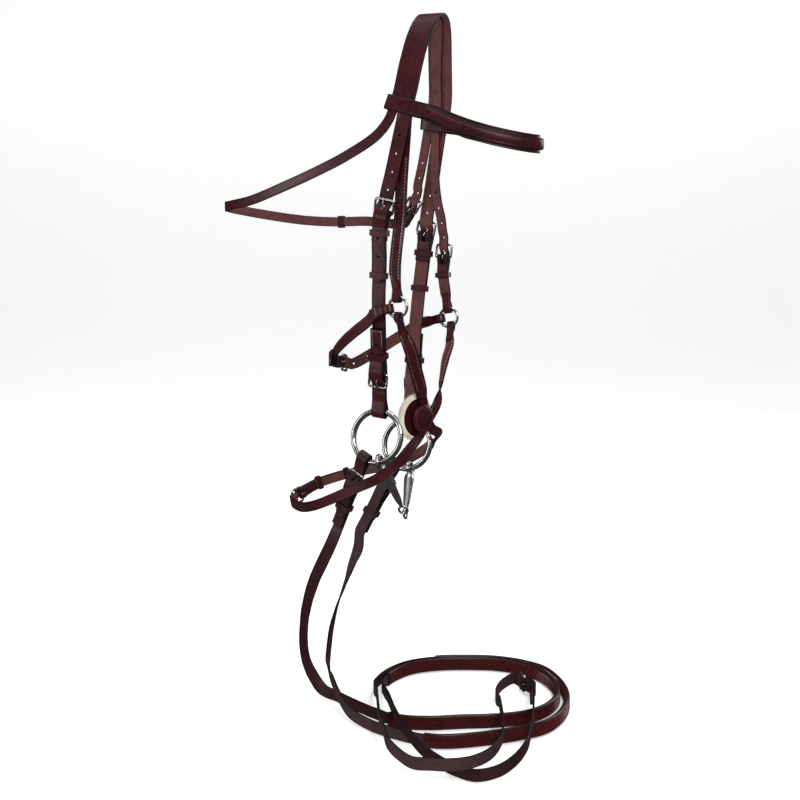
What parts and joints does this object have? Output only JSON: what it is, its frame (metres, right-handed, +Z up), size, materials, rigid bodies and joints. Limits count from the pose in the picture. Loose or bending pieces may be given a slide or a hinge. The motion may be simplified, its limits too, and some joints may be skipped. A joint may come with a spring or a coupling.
{
  "type": "snaffle bridle",
  "caption": "English snaffle bridle hanging from its poll: crossed noseband with a padded rosette, jointed ring snaffle bit and buckled rubber grip reins lying in a coil.",
  "frame": {"origin": "middle of the poll, on the underside of the noseband headstrap that lies under the crown of the headpiece", "axes": "+X is the wearer's forward, +Y its left (near) side, +Z up; the bridle hangs down along -Z"},
  "size_m": [0.4828, 0.4186, 0.9037],
  "materials": {
    "dark_leather": "waxed very dark oxblood bridle leather",
    "rein_leather": "waxed very dark oxblood rein leather",
    "stainless_steel": "polished stainless steel",
    "grip_rubber": "dark brown rubber with a small raised pattern",
    "pad_fleece": "cream fleece"
  },
  "bodies": {
    "root": {"headpiece": "dark_leather", "browband": "dark_leather", "browband_raised_facing": "dark_leather", "off_cheekpiece": "dark_leather", "off_lower_chape": "dark_leather", "near_cheekpiece": "dark_leather", "near_lower_chape": "dark_leather", "noseband_headstrap": "dark_leather", "noseband_near_cheek": "dark_leather", "jaw_strap_buckle_side": "dark_leather", "jaw_strap_billet": "dark_leather", "nose_strap_off_to_near": "dark_leather", "nose_strap_near_to_off": "dark_leather", "nose_rosette": "dark_leather", "rosette_pad": "pad_fleece", "off_cheek_top_buckle_frame": "stainless_steel", "near_cheek_top_buckle_frame": "stainless_steel", "off_cheek_lower_buckle_frame": "stainless_steel", "near_cheek_lower_buckle_frame": "stainless_steel", "throatlash_buckle_frame": "stainless_steel", "noseband_buckle_frame": "stainless_steel", "jaw_buckle_frame": "stainless_steel", "chin_buckle_frame": "stainless_steel", "off_cheek_keeper": "dark_leather", "near_cheek_keeper": "dark_leather", "noseband_keeper": "dark_leather", "jaw_keeper": "dark_leather", "chin_keeper": "dark_leather", "off_cheek_lower_keeper": "dark_leather", "near_cheek_lower_keeper": "dark_leather"},
    "off_bit_ring": {"off_bit_ring": "stainless_steel"},
    "near_bit_ring": {"near_bit_ring": "stainless_steel"},
    "off_noseband_ring": {"off_noseband_ring": "stainless_steel"},
    "near_noseband_ring": {"near_noseband_ring": "stainless_steel"},
    "off_arm": {"off_mouthpiece_arm": "stainless_steel"},
    "near_arm": {"near_mouthpiece_arm": "stainless_steel"},
    "reins": {"off_rein": "rein_leather", "off_rein_grip": "grip_rubber", "off_rein_chape": "rein_leather", "near_rein": "rein_leather", "near_rein_grip": "grip_rubber", "near_rein_chape": "rein_leather", "off_rein_buckle_frame": "stainless_steel", "near_rein_buckle_frame": "stainless_steel", "rein_centre_buckle_frame": "stainless_steel"},
    "off_cheek_top_buckle_tongue_pin": {"off_cheek_top_buckle_tongue": "stainless_steel"},
    "near_cheek_top_buckle_tongue_pin": {"near_cheek_top_buckle_tongue": "stainless_steel"},
    "off_cheek_lower_buckle_tongue_pin": {"off_cheek_lower_buckle_tongue": "stainless_steel"},
    "near_cheek_lower_buckle_tongue_pin": {"near_cheek_lower_buckle_tongue": "stainless_steel"},
    "throatlash_buckle_tongue_pin": {"throatlash_buckle_tongue": "stainless_steel"},
    "noseband_buckle_tongue_pin": {"noseband_buckle_tongue": "stainless_steel"},
    "jaw_buckle_tongue_pin": {"jaw_buckle_tongue": "stainless_steel"},
    "chin_buckle_tongue_pin": {"chin_buckle_tongue": "stainless_steel"},
    "off_rein_buckle_tongue_pin": {"off_rein_buckle_tongue": "stainless_steel"},
    "near_rein_buckle_tongue_pin": {"near_rein_buckle_tongue": "stainless_steel"},
    "rein_centre_buckle_tongue_pin": {"rein_centre_buckle_tongue": "stainless_steel"},
    "off_cheek_runner": {"off_cheek_runner": "dark_leather"},
    "near_cheek_runner": {"near_cheek_runner": "dark_leather"},
    "throatlash_runner": {"throatlash_runner": "dark_leather"},
    "chin_runner": {"chin_runner": "dark_leather"}
  },
  "joints": [
    {"name": "off_bit_ring_spin", "type": "hinge", "parent": "root", "child": "off_bit_ring", "pos_m": [-0.056, -0.046, -0.521], "axis": [0, 0.9676, -0.2524], "continuous": true},
    {"name": "near_bit_ring_spin", "type": "hinge", "parent": "root", "child": "near_bit_ring", "pos_m": [-0.056, 0.046, -0.545], "axis": [0, 0.9676, -0.2524], "continuous": true},
    {"name": "off_noseband_ring_spin", "type": "hinge", "parent": "root", "child": "off_noseband_ring", "pos_m": [-0.011, -0.08, -0.352], "axis": [0, 0.9889, -0.1483], "continuous": true},
    {"name": "near_noseband_ring_spin", "type": "hinge", "parent": "root", "child": "near_noseband_ring", "pos_m": [-0.011, 0.08, -0.376], "axis": [0, 0.9889, -0.1483], "continuous": true},
    {"name": "mouthpiece_swing", "type": "hinge", "parent": "root", "child": "off_arm", "pos_m": [-0.056, -0.046, -0.521], "axis": [0, 0.9676, -0.2524], "range_deg": [-3, 12]},
    {"name": "mouthpiece_joint", "type": "hinge", "parent": "off_arm", "child": "near_arm", "pos_m": [-0.031, -0.014, -0.626], "axis": [-0.9638, -0.0673, -0.2581], "range_deg": [-0.8, 0.8]},
    {"name": "reins_swing", "type": "hinge", "parent": "root", "child": "reins", "pos_m": [-0.056, -0.046, -0.521], "axis": [0, 0.9676, -0.2524], "range_deg": [-4, 4]},
    {"name": "off_cheek_top_buckle_tongue_hinge", "type": "hinge", "parent": "root", "child": "off_cheek_top_buckle_tongue_pin", "pos_m": [-0.036, -0.0675, -0.238], "axis": [0.9798, 0, -0.2], "range_deg": [-1.4, 2.5]},
    {"name": "near_cheek_top_buckle_tongue_hinge", "type": "hinge", "parent": "root", "child": "near_cheek_top_buckle_tongue_pin", "pos_m": [-0.04, 0.0675, -0.267], "axis": [-0.9927, 0, 0.1203], "range_deg": [-1.4, 2.5]},
    {"name": "off_cheek_lower_buckle_tongue_hinge", "type": "hinge", "parent": "root", "child": "off_cheek_lower_buckle_tongue_pin", "pos_m": [-0.05083, -0.05228, -0.43911], "axis": [-0.9946, 0, 0.1036], "range_deg": [-1.4, 2.5]},
    {"name": "near_cheek_lower_buckle_tongue_hinge", "type": "hinge", "parent": "root", "child": "near_cheek_lower_buckle_tongue_pin", "pos_m": [-0.05318, 0.05942, -0.45703], "axis": [0.9987, 0, -0.0504], "range_deg": [-1.4, 2.5]},
    {"name": "throatlash_buckle_tongue_hinge", "type": "hinge", "parent": "root", "child": "throatlash_buckle_tongue_pin", "pos_m": [-0.0585, 0.0575, -0.236], "axis": [-0.8924, 0, 0.4512], "range_deg": [-1.4, 2.5]},
    {"name": "noseband_buckle_tongue_hinge", "type": "hinge", "parent": "root", "child": "noseband_buckle_tongue_pin", "pos_m": [-0.018, 0.0775, -0.297], "axis": [-0.9996, 0, 0.03], "range_deg": [-1.4, 2.5]},
    {"name": "jaw_buckle_tongue_hinge", "type": "hinge", "parent": "root", "child": "jaw_buckle_tongue_pin", "pos_m": [-0.1345, 0.009, -0.434], "axis": [-0.0973, 0.2106, 0.9727], "range_deg": [-1.4, 2.5]},
    {"name": "chin_buckle_tongue_hinge", "type": "hinge", "parent": "root", "child": "chin_buckle_tongue_pin", "pos_m": [-0.198, 0.011, -0.618], "axis": [0.1458, 0.1853, -0.9718], "range_deg": [-1.4, 2.5]},
    {"name": "off_rein_buckle_tongue_hinge", "type": "hinge", "parent": "reins", "child": "off_rein_buckle_tongue_pin", "pos_m": [-0.08724, -0.05123, -0.58301], "axis": [0.891, -0.1146, -0.4393], "range_deg": [-1.4, 2.5]},
    {"name": "near_rein_buckle_tongue_hinge", "type": "hinge", "parent": "reins", "child": "near_rein_buckle_tongue_pin", "pos_m": [-0.08755, 0.03807, -0.60693], "axis": [-0.891, 0.1146, 0.4393], "range_deg": [-1.4, 2.5]},
    {"name": "rein_centre_buckle_tongue_hinge", "type": "hinge", "parent": "reins", "child": "rein_centre_buckle_tongue_pin", "pos_m": [0.087, 0.124, -0.8828], "axis": [0, 0, -1], "range_deg": [-1.4, 2.5]},
    {"name": "off_cheek_runner_slide", "type": "slide", "parent": "root", "child": "off_cheek_runner", "axis": [-0.0617, 0.0239, -0.9978], "range_m": [-0.008, 0.006]},
    {"name": "near_cheek_runner_slide", "type": "slide", "parent": "root", "child": "near_cheek_runner", "axis": [-0.0641, -0.1118, -0.9917], "range_m": [-0.008, 0.006]},
    {"name": "throatlash_runner_slide", "type": "slide", "parent": "root", "child": "throatlash_runner", "axis": [-0.9956, -0.0918, -0.0207], "range_m": [-0.005, 0.005]},
    {"name": "chin_runner_slide", "type": "slide", "parent": "root", "child": "chin_runner", "axis": [0.9046, 0.3356, 0.2627], "range_m": [-0.003, 0.003]}
  ]
}
